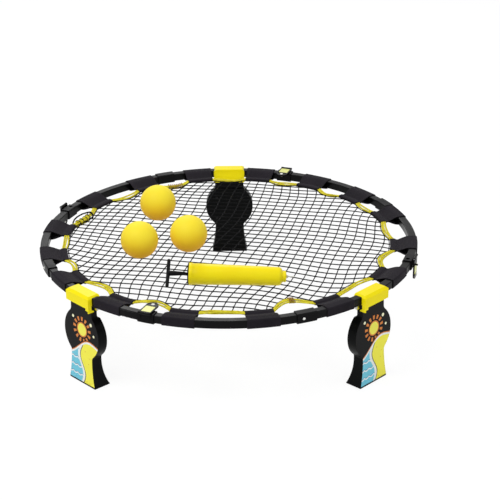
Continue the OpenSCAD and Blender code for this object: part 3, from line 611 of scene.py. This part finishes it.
# How many cords of each set lie between the middle and a place, as a smooth sum of
# powers of x and y over PULLED. A place where both are whole is a knot.
PULLED, POWERS = 400.0, [(t - n, n) for t in range(10) for n in range(t + 1)]
ACROSS = (
    -1.041, 3.476, 17.092, 0.926, -0.86, 1.152, -0.033, 2.113, -5.066, -0.175, -0.906, -2.05, -0.238, -0.851,
    -3.122, 1.24, -32.178, 45.104, -5.641, 10.68, -0.612, -0.626, 9.055, -1.622, -3.231, 4.706, 2.865, 4.961,
    0.872, 69.863, -115.122, 21.611, -27.69, 13.404, -17.59, 1.828, 0.575, -7.783, 4.858, 7.206, -15.485,
    -1.136, 2.904, -1.048, -2.601, -1.214, -40.558, 70.296, -23.898, 48.595, -4.295, 2.716, -12.793, 10.371,
    -0.976,
)
ALONG = (
    0.863, 14.441, -6.047, -0.954, 2.947, -3.106, 10.935, 8.34, 11.104, 8.502, 4.527, -16.068, 20.977,
    -8.994, 13.76, -28.35, -9.71, -55.191, -28.833, -51.647, -18.661, -7.037, 20.806, -21.316, 57.889,
    -63.137, 0.339, -16.83, 33.328, 8.118, 94.573, 2.276, 125.235, 50.747, 93.926, 17.656, 3.357, -5.776,
    10.98, -51.226, 25.289, -31.018, 44.479, 7.085, 6.311, -14.214, -3.107, -50.074, -6.398, -100.386,
    12.567, -84.899, -32.741, -51.858, -6.054,
)


def net_edge(angle):
    """Radius of the net's edge, which goes in with the cord that it draws in."""
    return NET_EDGE - max(0.0, drawn_in(angle)[0] - 1.8)


def inside(x, y):
    """Whether a place lies within the net's edge."""
    return math.hypot(x, y) < net_edge(math.degrees(math.atan2(y, x)))


def count(numbers, x, y):
    """How many cords lie between the middle and a place, and how fast that grows with x and with y."""
    x, y = x / PULLED, y / PULLED
    terms = list(zip(numbers, POWERS))
    return (sum(c * x ** m * y ** n for c, (m, n) in terms),
            sum(c * m * x ** (m - 1) * y ** n for c, (m, n) in terms if m) / PULLED,
            sum(c * n * x ** m * y ** (n - 1) for c, (m, n) in terms if n) / PULLED)


def crossing(i, j, x, y):
    """Where cord i of one set crosses cord j of the other, looked for from a place near it."""
    for _ in range(10):
        a, a_x, a_y = count(ALONG, x, y)
        b, b_x, b_y = count(ACROSS, x, y)
        spread = a_x * b_y - a_y * b_x
        x, y = (x - ((a - i) * b_y - (b - j) * a_y) / spread, y - ((b - j) * a_x - (a - i) * b_x) / spread)
    return x, y


places, queue = {(0, 0): crossing(0, 0, 0.0, 0.0)}, [(0, 0)]
for i, j in queue:
    if inside(*places[i, j]):
        for di, dj in STEPS:
            if (i + di, j + dj) not in places:
                places[i + di, j + dj] = crossing(i + di, j + dj, *places[i, j])
                queue.append((i + di, j + dj))
knots = {spot: n for n, spot in enumerate(spot for spot in places if inside(*places[spot]))}
mesh_points = [(*places[i, j], MID_Z + 0.25 * ((i + j) % 2) - 0.12) for i, j in knots]
mesh_edges = []
for (i, j), n in knots.items():
    for di, dj in STEPS:
        beside = (i + di, j + dj)
        if beside in knots:
            if n < knots[beside]:
                mesh_edges.append((n, knots[beside]))
            continue
        low, high = 0.0, 1.0
        for _ in range(20):
            half = (low + high) / 2
            at = [places[i, j][k] + (places[beside][k] - places[i, j][k]) * half for k in (0, 1)]
            low, high = (half, high) if inside(*at) else (low, half)
        mesh_edges.append((n, len(mesh_points)))
        mesh_points.append((*at, MID_Z))


def net_tree(cord):
    """Cords along the wires, and a knot at every crossing and every end."""
    tree, start, end = tree_of("net", Radius="NodeSocketFloat", Knot="NodeSocketFloat", Sides="NodeSocketInt")
    curve = add(tree, "GeometryNodeMeshToCurve")
    ring = add(tree, "GeometryNodeCurvePrimitiveCircle")
    tube = add(tree, "GeometryNodeCurveToMesh", {"Fill Caps": True})
    joined = add(tree, "GeometryNodeInputMeshVertexNeighbors")
    tied = add(tree, "FunctionNodeCompare", {3: 2}, data_type="INT", operation="NOT_EQUAL")
    spots = add(tree, "GeometryNodeMeshToPoints")
    ball = add(tree, "GeometryNodeMeshIcoSphere", {"Subdivisions": 2})
    turn = add(tree, "FunctionNodeRandomValue", {"Seed": 7, 1: (6.28, 6.28, 6.28)}, data_type="FLOAT_VECTOR")
    stretch = add(tree, "FunctionNodeRandomValue", {"Seed": 11, 0: (0.75, 0.75, 0.6), 1: (1.1, 1.1, 0.66)},
                  data_type="FLOAT_VECTOR")
    sized = add(tree, "ShaderNodeVectorMath", operation="SCALE")
    place = add(tree, "GeometryNodeInstanceOnPoints")
    both = add(tree, "GeometryNodeJoinGeometry")
    round_off = add(tree, "GeometryNodeSetShadeSmooth")
    join(tree, (start, "Wires", curve, "Mesh"), (start, "Radius", ring, "Radius"), (start, "Sides", ring, "Resolution"),
         (curve, "Curve", tube, "Curve"), (ring, "Curve", tube, "Profile Curve"), (joined, "Vertex Count", tied, 2),
         (start, "Wires", spots, "Mesh"), (tied, "Result", spots, "Selection"), (spots, "Points", place, "Points"),
         (ball, "Mesh", place, "Instance"), (turn, 0, place, "Rotation"), (stretch, 0, sized, 0),
         (start, "Knot", sized, "Scale"), (sized, 0, place, "Scale"), (tube, "Mesh", both, "Geometry"),
         (place, "Instances", both, "Geometry"), (both, "Geometry", round_off, "Geometry"))
    paint(tree, round_off, "Geometry", cord, end)
    return tree


netting = net_tree(finish("net_cord", (12, 12, 13), (7, 7, 8), patch=200.0, rough=(0.6, 0.8), pores=2600.0, relief=0.6,
                          depth=0.0002, gloss=0.06))
net = grow("net_mesh", "rim", mesh_points, mesh_edges, netting, "net_black", Radius=NET_CORD, Knot=NET_KNOT, Sides=6)
grow("net_border", "rim", [ring_at((net_edge(k), MID_Z), k) for k in range(360)],
     [(k, (k + 1) % 360) for k in range(360)], netting, "net_black", Radius=BORDER_CORD, Knot=BORDER_KNOT, Sides=8)
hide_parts("net")

# ---- Leg clamps -----------------------------------------------------------------------------------------
# Bright yellow glossy mouldings that hook over the rim tube. The leg turns on a
# white pin along the clamp's inner lower edge.
dress(finish("clamp_yellow", (253, 236, 14), (249, 228, 9), patch=12.0, rough=(0.3, 0.4), pores=500.0, relief=0.05,
             depth=0.0002, gloss=0.1), "clamp_back", "clamp_left", "clamp_right")
dress(white_nylon, "leg_hinge_pins")

# ---- Legs -----------------------------------------------------------------------------------------------
# Black moulded shells with a screwed cover on the hollow side and a rubber pad
# under the foot. The outer face carries a printed film: a shore line, two fields
# below it and a rayed disc above.
LEGS = {"back": 90.5, "left": 223.2, "right": 316.7}
PRINT_INSET, PRINT_LOW, PRINT_HIGH = 0.5, 2.6, 204.0
NECK_W, BULB_R, BULB_Z, FOOT_W = 37.5, 62.0, 125.0, 46.5
NECK_FILLET, WAIST_FILLET = 14.0, 10.0
FACE_X, FACE_LEAN, FILM_OUT, FILM_IN = 457.8, 0.04315, 0.14, -0.06
PRINT_ROWS, PRINT_COLUMNS = 90, 14
BLUE, FOAM, SWELL, LEMON, SAND = (120, 204, 226), (236, 244, 246), (48, 96, 150), (250, 242, 84), (214, 168, 60)
CHALK, INK, OCHRE, RAY, DISC = (240, 242, 240), (46, 44, 60), (214, 124, 58), (218, 132, 66), (244, 238, 96)
DOT, SOLE = (248, 246, 206), (22, 22, 24)
DISC_AT, DISC_R, DOTS = (0.02, 1.36), 0.15, ((-0.3, 1.6, 0.036), (0.34, 1.58, 0.042), (0.44, 1.33, 0.032))
dress(finish("leg_black", (8, 9, 9), (5, 6, 6), patch=14.0, rough=(0.28, 0.4), pores=900.0, relief=0.12, depth=0.0002,
             gloss=0.06), *(f"leg_{part}_{leg}" for part in ("shell", "cover") for leg in LEGS))
dress(finish("blackened_steel", (34, 34, 36), (22, 22, 24), rough=(0.4, 0.55), relief=0.1, gloss=0.2, metal=0.4),
      *(f"leg_screws_{leg}" for leg in LEGS))
dress(finish("pad_rubber", (18, 18, 18), (11, 11, 11), rough=(0.75, 0.9), pores=600.0, relief=0.3, gloss=0.12),
      *(f"foot_pad_{leg}" for leg in LEGS))


def print_outline():
    """Half widths of the print against height, a little inside the leg's front from the foot to the neck."""
    neck, bulb, foot = NECK_W - PRINT_INSET, BULB_R - PRINT_INSET, FOOT_W - PRINT_INSET
    top_f, low_f = NECK_FILLET + PRINT_INSET, WAIST_FILLET + PRINT_INSET
    top_c = (neck + top_f, BULB_Z + math.sqrt((bulb + top_f) ** 2 - (neck + top_f) ** 2))
    low_c = (neck + low_f, BULB_Z - math.sqrt((bulb + low_f) ** 2 - (neck + low_f) ** 2))
    side_r = ((foot - neck) ** 2 + low_c[1] ** 2) / (2 * (foot - neck))
    widths = []
    for k in range(PRINT_ROWS + 1):
        z = PRINT_LOW + (PRINT_HIGH - PRINT_LOW) * k / PRINT_ROWS
        if z >= top_c[1]:
            w = neck
        elif z <= low_c[1]:
            w = neck + side_r - math.sqrt(max(0.0, side_r ** 2 - (low_c[1] - z) ** 2))
        else:
            w = math.sqrt(max(0.0, bulb ** 2 - (z - BULB_Z) ** 2))
            for centre, fillet in ((top_c, top_f), (low_c, low_f)):
                drop = fillet ** 2 - (z - centre[1]) ** 2
                meet = BULB_Z + (centre[1] - BULB_Z) * bulb / (bulb + fillet)
                if drop > 0 and (z > meet if centre is top_c else z < meet):
                    w = centre[0] - math.sqrt(drop)
        widths.append((z, w))
    return widths


def print_film():
    """Generic print: charcoal above, a blue and a lemon field below a swinging shore line, and a rayed disc.
    Its map has a unit of 100 mm."""
    material = finish("print_film", (13, 13, 14), (9, 9, 10), patch=10.0, rough=(0.28, 0.4), relief=0.04, gloss=0.08)
    tree = material.node_tree
    path = add(tree, "ShaderNodeUVMap")
    split = add(tree, "ShaderNodeSeparateXYZ")
    grain = add(tree, "ShaderNodeTexVoronoi", {"Scale": 11.0})
    join(tree, (path, "UV", split, "Vector"), (path, "UV", grain, "Vector"))
    across, height = split.outputs["X"], split.outputs["Y"]

    def sums(kind, *values):
        step = add(tree, "ShaderNodeMath", operation=kind)
        for k, value in enumerate(values):
            if isinstance(value, (int, float)):
                step.inputs[k].default_value = value
            else:
                tree.links.new(value, step.inputs[k])
        return step.outputs[0]

    def more(distance, low):
        return sums("GREATER_THAN", distance, low)

    def less(distance, high):
        return sums("LESS_THAN", distance, high)

    def where(mask, *others):
        for other in others:
            mask = sums("MULTIPLY", mask, other)
        return mask

    def band(distance, low, high):
        return where(more(distance, low), less(distance, high))

    def spot(x, y, size):
        """Distance from a point, over its size."""
        wide = sums("DIVIDE", sums("SUBTRACT", across, x), size)
        tall = sums("DIVIDE", sums("SUBTRACT", height, y), size)
        return sums("SQRT", sums("ADD", sums("MULTIPLY", wide, wide), sums("MULTIPLY", tall, tall)))

    # height over the shore line, place beside the fold between the fields, and rows of scalloped swell
    swing = sums("MULTIPLY", sums("SINE", sums("MULTIPLY_ADD", across, 5.2, 0.6)), 0.11)
    above = sums("SUBTRACT", height, sums("ADD", swing, sums("MULTIPLY_ADD", across, 0.3, 0.95)))
    fold = sums("SUBTRACT", across, sums("MULTIPLY_ADD", sums("SINE", sums("MULTIPLY", height, 6.5)), 0.09, 0.04))
    arch = sums("MULTIPLY", sums("ABSOLUTE", sums("SINE", sums("MULTIPLY", across, 19.0))), 0.035)
    row = sums("MULTIPLY", sums("FRACT", sums("DIVIDE", sums("ADD", height, arch), 0.2)), 0.2)
    deep, below = less(above, -0.09), less(above, -0.05)
    disc = spot(*DISC_AT, DISC_R)
    turn = sums("ARCTAN2", sums("SUBTRACT", height, DISC_AT[1]), sums("SUBTRACT", across, DISC_AT[0]))
    rays = more(sums("SINE", sums("MULTIPLY", turn, 13.0)), 0.1)
    layers = [
        (less(above, 0.0), BLUE),
        (where(deep, less(row, 0.034)), FOAM),
        (where(deep, band(row, 0.034, 0.046)), SWELL),
        (where(below, more(fold, 0.0)), LEMON),
        (where(less(grain.outputs["Distance"], 0.13), less(above, -0.12), more(fold, 0.06)), SAND),
        (where(below, band(fold, -0.09, -0.015)), CHALK),
        (where(below, band(fold, -0.015, 0.008)), INK),
        (band(above, -0.06, -0.012), CHALK),
        (band(above, -0.012, 0.014), OCHRE),
        (where(rays, band(disc, 1.45, 2.1), more(above, 0.03)), RAY),
        (where(less(disc, 1.2), more(above, 0.014)), RAY),
        (where(less(disc, 1.0), more(above, 0.014)), DISC),
    ]
    layers += [(less(spot(*dot), 1.0), DOT) for dot in DOTS]
    layers.append((less(height, 0.045), SOLE))
    colour = node_of(tree, "VALTORGB").outputs["Color"]
    for mask, tint in layers:
        colour = blend(tree, mask, colour, tint)
    tree.links.new(colour, tree.nodes["Principled BSDF"].inputs["Base Color"])
    return material


leg_print = print_film()
widths = print_outline()
corners, faces, marks = [], [], []
for depth in (FILM_OUT, FILM_IN):
    for z, w in widths:
        for k in range(PRINT_COLUMNS + 1):
            y = w * (2 * k / PRINT_COLUMNS - 1)
            corners.append((FACE_X - FACE_LEAN * z + depth, y, z))
            marks.append((y / 100, z / 100))
rows, wide = len(widths), PRINT_COLUMNS + 1
behind = rows * wide
for r in range(rows - 1):
    for k in range(PRINT_COLUMNS):
        a = r * wide + k
        faces.append((a, a + 1, a + wide + 1, a + wide))
        faces.append((behind + a, behind + a + wide, behind + a + wide + 1, behind + a + 1))
    for k in (0, PRINT_COLUMNS):
        a = r * wide + k
        faces.append((a, a + wide, behind + a + wide, behind + a))
for r in (0, rows - 1):
    for k in range(PRINT_COLUMNS):
        a = r * wide + k
        faces.append((a, a + 1, behind + a + 1, behind + a))
for leg, angle in LEGS.items():
    turn = Matrix.Rotation(math.radians(angle), 4, "Z")
    mesh = bpy.data.meshes.new(f"leg_print_{leg}")
    mesh.from_pydata([(turn @ Vector(c)) * MM for c in corners], [], faces)
    grid = mesh.uv_layers.new(name="UVMap")
    for loop in mesh.loops:
        grid.data[loop.index].uv = marks[loop.vertex_index]
    outward(mesh)
    mesh.materials.append(leg_print)
    film = bpy.data.objects.new(mesh.name, mesh)
    scene.collection.objects.link(film)
    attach(film, f"leg_{leg}")

# ---- Balls ----------------------------------------------------------------------------------------------
# Soft yellow rubber balls, lemon above, with painted shade that makes them deeper
# in colour towards the underside.
# the heights and the orange colour of the painted shade on the balls' undersides
BALL_LOW, BALL_HIGH, PAINTED_UNDERSIDE_SHADE = 0.224, 0.296, (255, 188, 16)
ball_yellow = finish("ball_yellow", (255, 232, 52), (254, 226, 44), patch=14.0, rough=(0.5, 0.62), pores=1400.0,
                     relief=0.15, depth=0.0002, gloss=0.25)
tree = ball_yellow.node_tree
place = add(tree, "ShaderNodeTexCoord")
split = add(tree, "ShaderNodeSeparateXYZ")
# painted shade: below BALL_HIGH the colour turns a deeper orange, fully at BALL_LOW, where the underside is in shade
painted_shade = add(tree, "ShaderNodeMapRange", {"From Min": BALL_LOW, "From Max": BALL_HIGH, "To Min": 1.0, "To Max": 0.0},
             interpolation_type="SMOOTHSTEP")
join(tree, (place, "Object", split, "Vector"), (split, "Z", painted_shade, "Value"))
tree.links.new(blend(tree, painted_shade.outputs["Result"], node_of(tree, "VALTORGB").outputs["Color"], PAINTED_UNDERSIDE_SHADE),
               tree.nodes["Principled BSDF"].inputs["Base Color"])
dress(ball_yellow, "ball_1", "ball_2", "ball_3")

# ---- Pump -----------------------------------------------------------------------------------------------
# A yellow moulded barrel with a black screw cap, a black T handle on a steel rod,
# and a metal needle in the nozzle. The barrel lies on the net, tapers a little,
# and ends in a rounded shoulder and a ribbed collar that grips the needle.
PUMP_R, PUMP_END, BORE = 24.75, 21.15, 18.85
TAPER = (PUMP_R - 0.15, 7.5), (PUMP_END, 202.0)
PUMP_AT, PUMP_TURN, PUMP_PITCH = (-86.0, -245.0, 243.35), -2.0, 1.1458
barrel = [(0, 207), (2.6, 207), (9.5, 203), (BORE, 196), (BORE, 0), (PUMP_R + 0.1, 0), (PUMP_R + 0.6, 0.5),
          (PUMP_R + 0.6, 6.6), (PUMP_R + 0.3, 7.2)]
barrel += [tuple(near + (far - near) * k / 6 for near, far in zip(*TAPER)) for k in range(7)]
barrel += [(20.9, 203.8), (20.2, 205.5), (18.9, 207.2), (17.1, 208.7), (15.2, 209.9), (13.9, 210.7), (13.2, 211.3),
           (13.1, 212.2), (12.7, 212.5), (12.7, 214.0), (13.0, 214.4), (12.9, 216.2), (12.6, 217.8), (11.8, 218.9),
           (10.6, 219.4), (5.2, 219.6), (4.8, 220.3), (4.2, 220.5), (0, 220.5)]
lie = (Matrix.Translation(PUMP_AT) @ Matrix.Rotation(math.radians(PUMP_TURN), 4, "Z")
       @ Matrix.Rotation(math.radians(PUMP_PITCH + 90), 4, "Y"))
pump_yellow = finish("pump_yellow", (252, 232, 10), (248, 222, 6), patch=16.0, rough=(0.25, 0.36), gloss=0.2)
shell = piece("pump_barrel_shell", "pump", "pump_yellow", *lathe(barrel, 64), pump_yellow, lie)
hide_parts("pump_barrel")
dress(finish("pump_black", (10, 10, 11), (7, 7, 8), rough=(0.3, 0.45), relief=0.12, gloss=0.1),
      "pump_end_cap", "pump_handle", "pump_rod", "pump_seal")
dress(finish("needle_pale", (214, 212, 202), (190, 188, 178), rough=(0.25, 0.4), relief=0.05), "pump_needle")
dress(white_nylon, "pump_piston")
